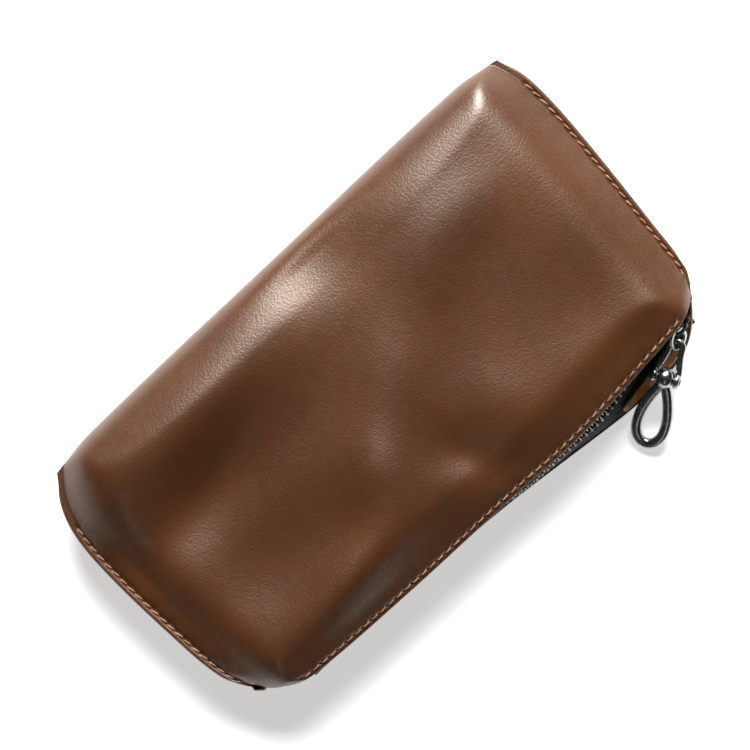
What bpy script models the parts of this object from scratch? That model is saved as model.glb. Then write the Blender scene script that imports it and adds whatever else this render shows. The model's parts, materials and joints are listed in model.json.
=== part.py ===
"""A leather pouch with a zipper along one long side, lying on its back panel.

One piece of leather is folded at +Y, sewn to itself along both short ends, and
closed by a zipper along -Y. X runs along the zipper towards its closed end, and
the back panel rests on z = 0. Sizes in this file are millimetres; every mesh is
scaled to metres as it is made.
"""
import bpy
import bmesh
from math import cos, pi, radians, sin, sqrt, tau
from mathutils import Matrix, Vector

MM = 0.001

# Leather body
SEAM_Z = 16.5                # height of the end seams and of the fold
HEIGHT = 34.0                # overall height of the stuffed pouch
LEATHER = 1.4                # thickness of the leather
SEAM_HALF = 1.6              # half thickness of the two layers at an end seam
FRONT_RISE = HEIGHT - SEAM_Z - SEAM_HALF
BACK_RISE = SEAM_Z - SEAM_HALF
PATCH_LENGTH = 215.0         # mean length and width of a panel, for the slopes
PATCH_WIDTH = 116.0
END_SLOPE = 30.0             # how far the slopes run in from each edge
FOLD_SLOPE = 26.0
MOUTH_SLOPE = 40.0
END_POWER = 2.2              # how fast the slopes level out
MOUTH_POWER = 2
BLEND = 2.5                  # sharpness of the ridges between two slopes
FRONT_RIM_RISE = 5.3         # height of the mouth's rims from the seam plane
BACK_RIM_RISE = 8.6
RIM_SAG = 1.4                # how much lower the back rim is where it flares
RIM_SAG_X = 66.0
RIM_SAG_HALF = 34.0          # half length of the flare

# Outlines seen from above, as (x, y) corners and the points between them
FOLD_EDGE = ((-105.4, 52.3), (-88, 54.6), (0, 54.8), (88, 54.4), (105.8, 51.6))
FRONT_RIM = ((-101.7, -52.4), (-96, -58.2), (-87, -60.8), (-43, -62.7), (8, -63.4),
             (30, -64.2), (52, -63.2), (78, -61.0), (90, -59.5), (97, -56.2), (101.3, -51.6))
BACK_RIM = ((-101.7, -52.4), (-96, -57.8), (-87, -60.2), (-43, -62.2), (0, -64.6),
            (24, -67.0), (52, -70.0), (66, -70.6), (78, -69.8), (88, -66.3), (95, -60.2),
            (101.3, -51.6))
LEFT_SEAM = ((-101.7, -52.4), (-107.5, -48.5), (-112.5, -38), (-115.2, -14), (-116.5, 16),
             (-115.4, 32), (-111.8, 43), (-105.4, 52.3))
RIGHT_SEAM = ((101.3, -51.6), (103.8, -46.5), (105.6, -28), (108.3, 3), (109.5, 26),
              (108.8, 41), (105.8, 51.6))

# Lining
LINING = 0.5
LINING_DROP = 3.5            # from the leather's outer face down to the lining
LINING_MIN_HALF = 0.8
LINING_ENDS = (0.02, 0.98)   # the bag's share of the length
LINING_SIDES = (0.09, 0.955)  # the bag's share of the width, from the mouth
LINING_NARROWS = 0.05        # share of the length over which its ends close

# Zipper
CHAIN_Y = -58.5
CHAIN_Z = 14.1
CHAIN_BULGE = 5.4            # how far the chain bows outwards
BULGE_START = -22.0          # it bows out from here
BULGE_RISE = 37.0            # over this length
BULGE_END = 75.0             # and is straight again here
BULGE_FALL = 32.0            # over this length
CHAIN_START = -86.0
CHAIN_END = 91.2
TILT_CLOSED_END = 50.0       # degrees that the zipper's face turns up from vertical
TILT_MIDDLE = 12.0
TILT_OPEN_END = 36.0
TILT_CLOSED_X = (8.0, 62.0)  # where the turn to the closed end starts, and its length
TILT_OPEN_X = (15.0, 55.0)   # the same towards the open end, along -X
PITCH = 2.6
FIRST_TOOTH = 1.0            # from the chain's start
LAST_TOOTH = 1.2             # past the slider's middle
TOOTH = 0.85
TOOTH_HEAD = -0.55
TOOTH_HEAD_HALF = 0.38       # half width of a head, as a share of the tooth
TOOTH_HALF_THICK = 1.0
SPINE_IN = 0.9
SPINE_OUT = 2.3
STOP = 1.4                   # width of a top stop
STOP_HALF_THICK = 1.2
TOP_STOP_END = 2.2           # past the chain's end
BOTTOM_STOP_START = 1.8      # before the chain's start
TAPE = 0.5
TAPE_IN = 2.75
TAPE_STRAIGHT = 5.6          # from the chain's middle to the bend
TAPE_PAST = 2.5              # how far the tapes run past the chain
BEND_SIZE = 0.7
BEND_OUT = 0.5
BEND_CLEAR = 0.2
BEND_SHARE = 0.45            # of the way to the rim, where the tape bends
HEM = 4.2                    # how far the tapes reach in under the leather
HEM_START = 0.8
HEM_CLEAR = 0.25
TAB = 0.8                    # leather tab over the tape at the closed end
TAB_START = 54.0
TAB_END = 86.5
TAB_SHARES = (0.12, 0.5, 0.85)  # of the tape between its bend and the rim
TAB_STEPS = 12

# Slider
SLIDER_X = 85.5
SLIDER_LENGTH = 11.0
SLIDER_REAR_HALF = 4.0
SLIDER_NOSE_HALF = 4.8
PLATE_IN = 1.3
PLATE_OUT = 2.2
FLANGE = 0.8
FLANGE_GAP = 0.55
JOINED = 0.4                 # how far the slider's pieces run into each other
INSET_SHARE = 0.4            # how much of an inset its ends take
FLANGE_INSET = 0.02          # keeps the flanges' sides just inside the plates'
REAR_CORNER = (0.8, 1.0)     # cut of the slider's corners, along and across
SHOULDER = (3.6, 0.3)
NOSE = (1.4, 0.4, 0.9)
POST = ((2.4, 0.15), (4.9, 0.85), (5.3, 0.5))  # half outline of the post between the rows
CROWN_WIDTH = 1.2
CROWN_TOP = 5.8
CROWN_HOLE_N = 3.6
CROWN_HOLE_X = 2.0
CROWN_HALF = 3.4             # half length of the crown at its foot
CROWN_ARCH = (3.3, 1.9)      # half length and height of its arch
CROWN_HOLE_FOOT = 2.5
CROWN_HOLE = (2.4, 1.1)      # half length and height of the arch of its hole
CROWN_STEPS = 8
SPREAD_START = 0.5           # where the two rows part inside the slider
SPREAD_LENGTH = 4.0
SPREAD = 0.9

# Pull
RING_RADIUS = 3.4
RING_WIRE = 0.65
RING_STEPS = 28
RING_DIRECTION = Vector((-0.79, -0.57, -0.22)).normalized()
RING_TILT_GUIDE = Vector((-0.25, 0.68, 0.8))
LINK_REACH = 11.2
LINK_WIRE = 0.95
LINK_BOW = 0.9               # depth of the bow, as a share of its half width
LINK_SEAT = 0.2              # how far the bow sits back in the ring
LINK_STEPS = 8
LINK_EYE = ((2.0, 0.95), (2.3, 0.6))  # radius and height of an eye's upper corners
LINK_TOP_HALF = 2.4
LINK_EYE_HALF = 4.15
LINK_DIRECTION = Vector((-0.85, -0.455, -0.11)).normalized()
LINK_ROLL = radians(8)
BARREL_RADIUS = 3.4
BARREL_END_RADIUS = 2.6
BARREL_WIDTH = 5.2
PIN_RADIUS = 1.0
PIN_HEAD = ((1.2, 0.8), (1.8, 0.3))  # radius and height of a head's upper corners
BORE_HALF = 8.0              # longer than any eye or barrel
LOOP_REACH = 26.4
LOOP_DROP = radians(20)       # how far the loop hangs below the link's line
LOOP_START = 2.9             # from the pin to the loop's near end
LOOP_HALF_WIDTH = 5.3
LOOP_SWELL = 1.12            # makes up for the pear shape's narrower ends
LOOP_NECK = 0.42             # width near the pin, as a share of the width at the far end
LOOP_WIRE = 1.75
LOOP_STEPS = 40

THREAD_RADIUS = 0.35
STITCH_INSET = 1.8
MOUTH_STITCHES = (0.06, 0.94)  # the stitched share of the mouth and of the end seams
END_STITCHES = (0.1, 0.84)
MOUTH_STITCH_STEPS = 60
END_STITCH_STEPS = 30
SLOPE_STEP = 0.004           # step in u and v that gives a panel's slope
GAP = 0.3


# ---------------------------------------------------------------- small tools

def material(name, colour, roughness, metallic=0.0):
    made = bpy.data.materials.new(name)
    made.use_nodes = True
    shader = made.node_tree.nodes["Principled BSDF"]
    shader.inputs["Base Color"].default_value = (*colour, 1.0)
    shader.inputs["Roughness"].default_value = roughness
    shader.inputs["Metallic"].default_value = metallic
    return made


def mesh_object(name, points, faces, mat, smooth=40):
    """A mesh object from points in millimetres, with its faces turned outwards."""
    mesh = bpy.data.meshes.new(name)
    mesh.from_pydata([Vector(p) * MM for p in points], [], faces)
    bm = bmesh.new()
    bm.from_mesh(mesh)
    bmesh.ops.recalc_face_normals(bm, faces=bm.faces)
    if bm.calc_volume(signed=True) < 0:
        bmesh.ops.reverse_faces(bm, faces=bm.faces)
    bm.to_mesh(mesh)
    bm.free()
    mesh.shade_smooth()
    mesh.set_sharp_from_angle(angle=radians(smooth))
    mesh.materials.append(mat)
    thing = bpy.data.objects.new(name, mesh)
    bpy.context.collection.objects.link(thing)
    return thing


def clamp(value, low=0.0, high=1.0):
    return max(low, min(high, value))


def smooth_step(value):
    t = clamp(value)
    return t * t * (3 - 2 * t)


def bump(x, centre, half):
    """1 at centre, falling smoothly to 0 at half on each side."""
    t = clamp(abs(x - centre) / half)
    return cos(t * pi / 2) ** 2


def curve_through(points, axis, value):
    """The other coordinate of a smooth curve through (x, y) points, at value on axis."""
    other = 1 - axis
    last = len(points) - 2
    k = 0
    while k < last and value > points[k + 1][axis]:
        k += 1
    a, b = points[k], points[k + 1]
    before = points[max(k - 1, 0)]
    after = points[min(k + 2, last + 1)]
    span = b[axis] - a[axis]
    t = clamp((value - a[axis]) / span)
    slope_a = (b[other] - before[other]) / (b[axis] - before[axis]) * span
    slope_b = (after[other] - a[other]) / (after[axis] - a[axis]) * span
    h1 = 2 * t ** 3 - 3 * t ** 2 + 1
    h2 = t ** 3 - 2 * t ** 2 + t
    h3 = 3 * t ** 2 - 2 * t ** 3
    h4 = t ** 3 - t ** 2
    return h1 * a[other] + h2 * slope_a + h3 * b[other] + h4 * slope_b


def slab(name, rows, thickness, mat):
    """A closed sheet: rows is its outer face, and it grows against the normal."""
    count, width = len(rows), len(rows[0])
    inner = []
    for i in range(count):
        for j in range(width):
            along = rows[min(i + 1, count - 1)][j] - rows[max(i - 1, 0)][j]
            across = rows[i][min(j + 1, width - 1)] - rows[i][max(j - 1, 0)]
            inner.append(rows[i][j] - along.cross(across).normalized() * thickness)
    points = [p for row in rows for p in row] + inner
    faces = []
    size = count * width
    for i in range(count - 1):
        for j in range(width - 1):
            a, b = i * width + j, (i + 1) * width + j
            faces.append((a, b, b + 1, a + 1))
            faces.append((size + a, size + a + 1, size + b + 1, size + b))
    rim = [j for j in range(width)]
    rim += [i * width + width - 1 for i in range(1, count)]
    rim += [(count - 1) * width + j for j in range(width - 2, -1, -1)]
    rim += [i * width for i in range(count - 2, 0, -1)]
    for a, b in zip(rim, rim[1:] + rim[:1]):
        faces.append((a, b, size + b, size + a))
    return mesh_object(name, points, faces, mat)


def prism(name, outline, low, high, place, mat):
    """An outline of (a, b) points between two heights, set in place by a function."""
    count = len(outline)
    points = [place(a, b, low) for a, b in outline] + [place(a, b, high) for a, b in outline]
    faces = [tuple(range(count))[::-1], tuple(range(count, 2 * count))]
    for k in range(count):
        nxt = (k + 1) % count
        faces.append((k, nxt, count + nxt, count + k))
    return mesh_object(name, points, faces, mat)


def tube(name, points, radius, mat):
    """A thin round thread along points, as a curve with a bevel and filled ends."""
    data = bpy.data.curves.new(name, "CURVE")
    data.dimensions = "3D"
    data.bevel_depth = radius * MM
    data.bevel_resolution = 1
    data.use_fill_caps = True
    spline = data.splines.new("POLY")
    spline.points.add(len(points) - 1)
    for spot, p in zip(spline.points, points):
        spot.co = (*(Vector(p) * MM), 1.0)
    data.materials.append(mat)
    thing = bpy.data.objects.new(name, data)
    bpy.context.collection.objects.link(thing)
    return thing


def flat_bar(name, points, up, radius, mat, closed=False, sides=10):
    """A round bar along points of one plane, whose normal is up, as a mesh."""
    count = len(points)
    rings = []
    for k, p in enumerate(points):
        after = points[(k + 1) % count] if closed else points[min(k + 1, count - 1)]
        before = points[k - 1] if closed else points[max(k - 1, 0)]
        out = (after - before).cross(up).normalized()
        rings += [p + (out * cos(tau * s / sides) + up * sin(tau * s / sides)) * radius
                  for s in range(sides)]
    faces = []
    for k in range(count if closed else count - 1):
        a, b = k * sides, ((k + 1) % count) * sides
        for s in range(sides):
            t = (s + 1) % sides
            faces.append((a + s, b + s, b + t, a + t))
    if not closed:
        faces += [tuple(range(sides)), tuple(range((count - 1) * sides, count * sides))]
    return mesh_object(name, rings, faces, mat)


def boolean(target, tool, operation):
    step = target.modifiers.new(f"{operation.lower()}_{tool.name}", "BOOLEAN")
    step.object = tool
    step.operation = operation
    step.solver = "EXACT"
    tool.hide_render = True
    tool.display_type = "WIRE"


def lathe(name, profile, centre, axis, mat, steps=24):
    """A turned solid: profile is (radius, height) pairs, from axis to axis."""
    turn = Vector((0, 0, 1)).rotation_difference(axis).to_matrix()
    points = []
    for radius, height in profile[1:-1]:
        for k in range(steps):
            angle = tau * k / steps
            spot = Vector((radius * cos(angle), radius * sin(angle), height))
            points.append(centre + turn @ spot)
    first = len(points)
    points.append(centre + axis * profile[0][1])
    points.append(centre + axis * profile[-1][1])
    faces = []
    rings = len(profile) - 2
    for r in range(rings - 1):
        for k in range(steps):
            nxt = (k + 1) % steps
            faces.append((r * steps + k, r * steps + nxt, (r + 1) * steps + nxt, (r + 1) * steps + k))
    for k in range(steps):
        nxt = (k + 1) % steps
        faces.append((first, nxt, k))
        faces.append((first + 1, (rings - 1) * steps + k, (rings - 1) * steps + nxt))
    return mesh_object(name, points, faces, mat)


# ------------------------------------------------------------ the body's shape

def patch_point(u, v, rim):
    """A point of a panel seen from above; u runs -X to +X, v from the mouth to the fold."""
    def along(points, t):
        x = points[0][0] + (points[-1][0] - points[0][0]) * t
        return Vector((x, curve_through(points, 0, x)))

    def up(points, t):
        y = points[0][1] + (points[-1][1] - points[0][1]) * t
        return Vector((curve_through(points, 1, y), y))

    bottom, top = along(rim, u), along(FOLD_EDGE, u)
    left, right = up(LEFT_SEAM, v), up(RIGHT_SEAM, v)
    corners = (Vector(rim[0]) * (1 - u) + Vector(rim[-1]) * u) * (1 - v)
    corners += (Vector(FOLD_EDGE[0]) * (1 - u) + Vector(FOLD_EDGE[-1]) * u) * v
    return bottom * (1 - v) + top * v + left * (1 - u) + right * u - corners


def rise(u, v, full, rim_rise):
    """Height of a panel above the seam plane's flat layers."""
    end = clamp(1 - min(u, 1 - u) * PATCH_LENGTH / END_SLOPE) ** END_POWER
    near_fold = clamp(1 - (1 - v) * PATCH_WIDTH / FOLD_SLOPE)
    fold = 1 - sqrt(1 - near_fold ** 2)
    mouth = (1 - rim_rise / full) * clamp(1 - v * PATCH_WIDTH / MOUTH_SLOPE) ** MOUTH_POWER
    lost = (end ** BLEND + fold ** BLEND + mouth ** BLEND) ** (1 / BLEND)
    return full * (1 - min(lost, 1.0))


def panel_half(u, v, side):
    """Distance of the leather's outer face from the seam plane."""
    if side > 0:
        return SEAM_HALF + rise(u, v, FRONT_RISE, FRONT_RIM_RISE)
    x = patch_point(u, 0, BACK_RIM).x
    sag = RIM_SAG * bump(x, RIM_SAG_X, RIM_SAG_HALF)
    return SEAM_HALF + rise(u, v, BACK_RISE, BACK_RIM_RISE + sag)


def panel_point(u, v, side):
    spot = patch_point(u, v, FRONT_RIM if side > 0 else BACK_RIM)
    return Vector((spot.x, spot.y, SEAM_Z + side * panel_half(u, v, side)))


def panel_normal(u, v, side):
    step = SLOPE_STEP
    du = panel_point(min(u + step, 1), v, side) - panel_point(max(u - step, 0), v, side)
    dv = panel_point(u, min(v + step, 1), side) - panel_point(u, max(v - step, 0), side)
    return du.cross(dv).normalized() * side


def spaced(count, low=0.0, high=1.0):
    """Numbers from low to high that crowd towards both ends."""
    return [low + (high - low) * (0.5 * k / count + 0.25 * (1 - cos(pi * k / count)))
            for k in range(count + 1)]


def even(count, low, high):
    return [low + (high - low) * k / count for k in range(count + 1)]


def leather_body(mat):
    rows = []
    for u in spaced(30):
        steps = spaced(20)
        row = [panel_point(u, v, 1) for v in steps]
        row += [panel_point(u, v, -1) for v in reversed(steps)]
        rows.append(row)
    return slab("leather_body", rows, LEATHER, mat)


def lining_bag(mat):
    """The fabric bag inside, cut smaller and open towards the zipper."""
    rows = []
    low, high = LINING_ENDS
    for u in spaced(22, low, high):
        row = []
        inside = smooth_step(min(u - low, high - u) / LINING_NARROWS)
        for side in (1, -1):
            steps = spaced(12, *LINING_SIDES)
            for v in steps if side > 0 else reversed(steps):
                spot = panel_point(u, v, side)
                half = (panel_half(u, v, side) - LINING_DROP) * inside
                half = max(LINING_MIN_HALF, half)
                row.append(Vector((spot.x, spot.y, SEAM_Z + side * half)))
        rows.append(row)
    return slab("lining_bag", rows, LINING, mat)


# ------------------------------------------------------------------ the zipper

def chain_tilt(x):
    closed = smooth_step((x - TILT_CLOSED_X[0]) / TILT_CLOSED_X[1])
    opened = smooth_step((-x - TILT_OPEN_X[0]) / TILT_OPEN_X[1])
    lean = TILT_MIDDLE + (TILT_CLOSED_END - TILT_MIDDLE) * closed
    return radians(lean + (TILT_OPEN_END - TILT_MIDDLE) * opened)


def chain_frame(x):
    """Centre of the chain, its direction across the tapes, and its outward face."""
    bulge = smooth_step((x - BULGE_START) / BULGE_RISE) * smooth_step((BULGE_END - x) / BULGE_FALL)
    y = CHAIN_Y - CHAIN_BULGE * bulge
    lean = chain_tilt(x)
    return (Vector((x, y, CHAIN_Z)), Vector((0, sin(lean), cos(lean))),
            Vector((0, -cos(lean), sin(lean))))


def chain_place(a, b, height):
    centre, across, face = chain_frame(a)
    return centre + across * b + face * height


def row_spread(x):
    """The two rows part as they leave the slider's nose."""
    return SPREAD * smooth_step((x - SLIDER_X - SPREAD_START) / SPREAD_LENGTH)


def teeth_row(name, side, mat):
    """One row of teeth on its cord: a square cord in short lengths, with a tooth on every other."""
    stations = [CHAIN_START]
    x = CHAIN_START + FIRST_TOOTH + (0 if side > 0 else PITCH / 2)
    while x < SLIDER_X + LAST_TOOTH:
        stations += [x - TOOTH / 2, x + TOOTH / 2]
        x += PITCH
    stations.append(CHAIN_END)

    def corners(a, b):
        reach = side * (b + row_spread(a))
        return [chain_place(a, reach, -TOOTH_HALF_THICK), chain_place(a, reach, TOOTH_HALF_THICK)]

    points, faces = [], []
    for a in stations:
        points += corners(a, SPINE_IN) + corners(a, SPINE_OUT)
    for k in range(len(stations) - 1):
        p, q = 4 * k, 4 * k + 4
        faces += [(p, p + 2, q + 2, q), (p + 1, q + 1, q + 3, p + 3), (p + 2, p + 3, q + 3, q + 2)]
        if k % 2 == 0:
            faces.append((p, q, q + 1, p + 1))
            continue
        head = len(points)
        middle = (stations[k] + stations[k + 1]) / 2
        half = TOOTH * TOOTH_HEAD_HALF
        points += corners(middle - half, TOOTH_HEAD) + corners(middle + half, TOOTH_HEAD)
        faces += [(p, q, head + 2, head), (p + 1, head + 1, head + 3, q + 1),
                  (p, head, head + 1, p + 1), (q, q + 1, head + 3, head + 2),
                  (head, head + 2, head + 3, head + 1)]
    last = 4 * (len(stations) - 1)
    faces += [(0, 1, 3, 2), (last, last + 2, last + 3, last + 1)]
    return mesh_object(name, points, faces, mat)


def rim_u(x, rim):
    return (x - rim[0][0]) / (rim[-1][0] - rim[0][0])


def tape_line(x, side):
    """Cross-section of one tape: from the teeth, round to the rim, and in under the leather."""
    rim = FRONT_RIM if side > 0 else BACK_RIM
    centre, across, face = chain_frame(x)
    spread = row_spread(x)
    under = LEATHER + GAP + HEM_CLEAR + TAPE / 2
    u = rim_u(x, rim)
    hem = [panel_point(u, v, side) - panel_normal(u, v, side) * under
           for v in (HEM_START / PATCH_WIDTH, HEM / 2 / PATCH_WIDTH, HEM / PATCH_WIDTH)]
    reach = hem[0] - centre
    bend = min(TAPE_STRAIGHT + BEND_OUT + spread, abs(reach.dot(across)) - BEND_CLEAR)
    knee = centre + across * side * bend + face * (reach.dot(face) * BEND_SHARE)
    return [centre + across * side * (TAPE_IN + spread),
            centre + across * side * (TAPE_STRAIGHT - BEND_SIZE + spread), knee] + hem


def strip(name, lines, thickness, mat, offset=0.0):
    """A thin strip whose cross-sections are lines of points, thickened about its middle."""
    rows = []
    for i, line in enumerate(lines):
        row = []
        for j, p in enumerate(line):
            along = lines[min(i + 1, len(lines) - 1)][j] - lines[max(i - 1, 0)][j]
            across = line[min(j + 1, len(line) - 1)] - line[max(j - 1, 0)]
            row.append(p + along.cross(across).normalized() * (offset + thickness / 2))
        rows.append(row)
    return slab(name, rows, thickness, mat)


def tape(name, side, mat):
    count = 44
    first, last = CHAIN_START - TAPE_PAST, CHAIN_END + TAPE_PAST
    lines = [tape_line(first + (last - first) * k / count, side) for k in range(count + 1)]
    if side < 0:
        lines.reverse()
    return strip(name, lines, TAPE, mat)


def end_tab(mat):
    """The leather piece that covers the back tape at the closed end."""
    lines = []
    for k in range(TAB_STEPS + 1):
        x = TAB_START + (TAB_END - TAB_START) * k / TAB_STEPS
        line = tape_line(x, -1)
        lines.append([line[2].lerp(line[3], share) for share in TAB_SHARES])
    lines.reverse()
    return strip("zipper_end_tab", lines, TAB, mat, offset=(TAPE + TAB) / 2 + GAP)


def stop(name, low_x, high_x, low_b, high_b, mat):
    outline = [(low_x, low_b), (high_x, low_b), (high_x, high_b), (low_x, high_b)]
    return prism(name, outline, -STOP_HALF_THICK, STOP_HALF_THICK, chain_place, mat)


# ------------------------------------------------------------------ the slider

def slider_axes():
    lean = radians(TILT_CLOSED_END)
    return (Vector((SLIDER_X, CHAIN_Y, CHAIN_Z)), Vector((0, sin(lean), cos(lean))),
            Vector((0, -cos(lean), sin(lean))))


def slider_place(a, b, height):
    centre, across, face = slider_axes()
    return centre + Vector((a, 0, 0)) + across * b + face * height


def slider_outline(inset):
    """Half-widths grow from the rear to the nose; the ends are rounded."""
    half = SLIDER_LENGTH / 2 - inset * INSET_SHARE
    rear, nose = SLIDER_REAR_HALF - inset, SLIDER_NOSE_HALF - inset
    side = [(-half, rear - REAR_CORNER[1]), (-half + REAR_CORNER[0], rear),
            (half - SHOULDER[0], nose - SHOULDER[1]), (half - NOSE[0], nose),
            (half - NOSE[1], nose - NOSE[2])]
    return side + [(a, -b) for a, b in reversed(side)]


def slider_body(mat):
    bottom = prism("slider_body", slider_outline(0), -PLATE_OUT, -PLATE_IN, slider_place, mat)
    top = prism("slider_top_plate", slider_outline(0), PLATE_IN, PLATE_OUT, slider_place, mat)
    inside = PLATE_IN + JOINED
    post_shape = list(POST) + [(a, -b) for a, b in reversed(POST)]
    post = prism("slider_post", post_shape, -inside, inside, slider_place, mat)
    boolean(bottom, post, "UNION")
    boolean(bottom, top, "UNION")
    outer, inner = slider_outline(FLANGE_INSET), slider_outline(FLANGE)
    for side in (1, -1):
        rail = [(a, b * side) for a, b in outer[1:4]] + [(a, b * side) for a, b in inner[3:0:-1]]
        for name, low, high in (("low", -inside, -FLANGE_GAP), ("high", FLANGE_GAP, inside)):
            flange = prism(f"slider_flange_{name}_{side + 1}", rail, low, high, slider_place, mat)
            boolean(bottom, flange, "UNION")
    boolean(bottom, crown(mat), "UNION")
    return bottom


def crown(mat):
    """The bridge over the outer plate that the ring hangs in."""
    foot, spring = PLATE_OUT - JOINED, CROWN_TOP - CROWN_ARCH[1]
    arch, hole = [], []
    for k in range(CROWN_STEPS + 1):
        angle = pi * k / CROWN_STEPS
        arch.append((CROWN_HOLE_X + CROWN_ARCH[0] * cos(angle), spring + CROWN_ARCH[1] * sin(angle)))
        hole.append((CROWN_HOLE_X - CROWN_HOLE[0] * cos(angle), spring + CROWN_HOLE[1] * sin(angle)))
    outer = [(CROWN_HOLE_X + CROWN_HALF, foot)] + arch + [(CROWN_HOLE_X - CROWN_HALF, foot)]
    inner = [(CROWN_HOLE_X - CROWN_HOLE_FOOT, foot)] + hole + [(CROWN_HOLE_X + CROWN_HOLE_FOOT, foot)]
    shape = outer + inner

    def upright(a, b, height):
        return slider_place(a, height, b)

    return prism("slider_crown", shape, -CROWN_WIDTH / 2, CROWN_WIDTH / 2, upright, mat)


# -------------------------------------------------------------------- the pull

def pull_frame():
    """Points and directions of the pull: ring, link, pin and loop."""
    hang = slider_place(CROWN_HOLE_X, 0, CROWN_HOLE_N)
    guide = RING_TILT_GUIDE
    ring_axis = (guide - RING_DIRECTION * guide.dot(RING_DIRECTION)).normalized()
    ring_centre = hang + RING_DIRECTION * RING_RADIUS
    link_top = hang + RING_DIRECTION * RING_RADIUS * 2
    level = Vector((0, 0, 1)) - LINK_DIRECTION * LINK_DIRECTION.z
    face = Matrix.Rotation(LINK_ROLL, 3, LINK_DIRECTION) @ level.normalized()
    side = LINK_DIRECTION.cross(face).normalized()
    eye = link_top + LINK_DIRECTION * LINK_REACH
    droop = Matrix.Rotation(-LOOP_DROP, 3, side)
    return {"hang": hang, "ring_axis": ring_axis, "ring_centre": ring_centre,
            "link_top": link_top, "face": face, "side": side, "eye": eye,
            "loop_direction": droop @ LINK_DIRECTION, "loop_face": droop @ face}


def pull_ring(frame, mat):
    toward, across = RING_DIRECTION, frame["ring_axis"]
    points = []
    for k in range(RING_STEPS):
        angle = tau * k / RING_STEPS
        points.append(frame["ring_centre"] + (toward * cos(angle) + across * sin(angle)) * RING_RADIUS)
    face = toward.cross(across)
    return flat_bar("pull_ring", points, face, RING_WIRE, mat, closed=True, sides=8)


def pin_bore(name, frame, mat):
    """The hole that the pin runs through, as a tool for cutting."""
    radius = PIN_RADIUS + GAP
    profile = [(0, -BORE_HALF), (radius, -BORE_HALF), (radius, BORE_HALF), (0, BORE_HALF)]
    return lathe(name, profile, frame["eye"], frame["side"], mat)


def pull_link(frame, mat):
    """A shackle: a narrow bow in the ring, and two limbs that end in eyes."""
    points = []
    for k in range(-LINK_STEPS, LINK_STEPS + 1):
        t = abs(k) / LINK_STEPS
        if t < 0.5:
            angle = t * pi
            along, out = -LINK_TOP_HALF * LINK_BOW * cos(angle), LINK_TOP_HALF * sin(angle)
        else:
            run = (t - 0.5) * 2
            along = run * LINK_REACH
            out = LINK_TOP_HALF + (LINK_EYE_HALF - LINK_TOP_HALF) * smooth_step(run)
        side = frame["side"] * (out if k > 0 else -out)
        points.append(frame["link_top"] + LINK_DIRECTION * (along - LINK_SEAT) + side)
    link = flat_bar("pull_link", points, frame["face"], LINK_WIRE, mat)
    for sign in (1, -1):
        centre = frame["eye"] + frame["side"] * sign * LINK_EYE_HALF
        profile = [(0, -LINK_WIRE)] + [(radius, -height) for radius, height in LINK_EYE]
        profile += [*reversed(LINK_EYE), (0, LINK_WIRE)]
        eye = lathe(f"link_eye_{sign + 1}", profile, centre, frame["side"], mat)
        boolean(link, eye, "UNION")
    bore = pin_bore("link_bore", frame, mat)
    boolean(link, bore, "DIFFERENCE")
    return link


def pull_pin(frame, mat):
    half = LINK_EYE_HALF + LINK_WIRE + GAP
    head = [(0, half + PIN_HEAD[0][1])] + [(radius, half + height) for radius, height in PIN_HEAD]
    head += [(PIN_HEAD[1][0], half), (PIN_RADIUS, half)]
    profile = [(radius, -height) for radius, height in head] + head[::-1]
    return lathe("pull_pin", profile, frame["eye"], frame["side"], mat)


def pull_loop(frame, mat):
    """A pear-shaped loop that is cast in one with its barrel."""
    points = []
    for k in range(LOOP_STEPS):
        angle = tau * k / LOOP_STEPS
        along = LOOP_START + (LOOP_REACH - LOOP_START) * (1 - cos(angle)) / 2
        pear = LOOP_NECK + (1 - LOOP_NECK) * sin(angle / 2) ** 2
        out = LOOP_HALF_WIDTH * LOOP_SWELL * sin(angle) * pear
        points.append(frame["eye"] + frame["loop_direction"] * along + frame["side"] * out)
    loop = flat_bar("pull_loop", points, frame["loop_face"], LOOP_WIRE, mat, closed=True)
    half = BARREL_WIDTH / 2
    profile = [(0, -half), (BARREL_END_RADIUS, -half), (BARREL_RADIUS, -half / 2),
               (BARREL_RADIUS, half / 2), (BARREL_END_RADIUS, half), (0, half)]
    barrel = lathe("loop_barrel", profile, frame["eye"], frame["side"], mat)
    boolean(loop, barrel, "UNION")
    bore = pin_bore("loop_bore", frame, mat)
    boolean(loop, bore, "DIFFERENCE")
    return loop


# ------------------------------------------------------------------ the thread

def surface_thread(name, spots, side, mat):
    """A thread that lies along (u, v) spots just above the leather."""
    lift = THREAD_RADIUS + GAP
    points = [panel_point(u, v, side) + panel_normal(u, v, side) * lift for u, v in spots]
    return tube(name, points, THREAD_RADIUS, mat)


def threads(mat):
    inset_v = STITCH_INSET / PATCH_WIDTH
    inset_u = STITCH_INSET / PATCH_LENGTH
    along = even(MOUTH_STITCH_STEPS, *MOUTH_STITCHES)
    up = even(END_STITCH_STEPS, *END_STITCHES)
    for side, label in ((1, "front"), (-1, "back")):
        surface_thread(f"stitch_mouth_{label}", [(u, inset_v) for u in along], side, mat)
        surface_thread(f"stitch_left_{label}", [(inset_u, v) for v in up], side, mat)
        surface_thread(f"stitch_right_{label}", [(1 - inset_u, v) for v in up], side, mat)


def joint_axis(name, spot):
    empty = bpy.data.objects.new(name, None)
    empty.empty_display_size = 0.004
    empty.location = spot * MM
    bpy.context.collection.objects.link(empty)
    return empty


def hold(empty, thing):
    """Parents a piece to an empty without moving it."""
    thing.parent = empty
    thing.matrix_parent_inverse = Matrix.Translation(empty.location).inverted()


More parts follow.
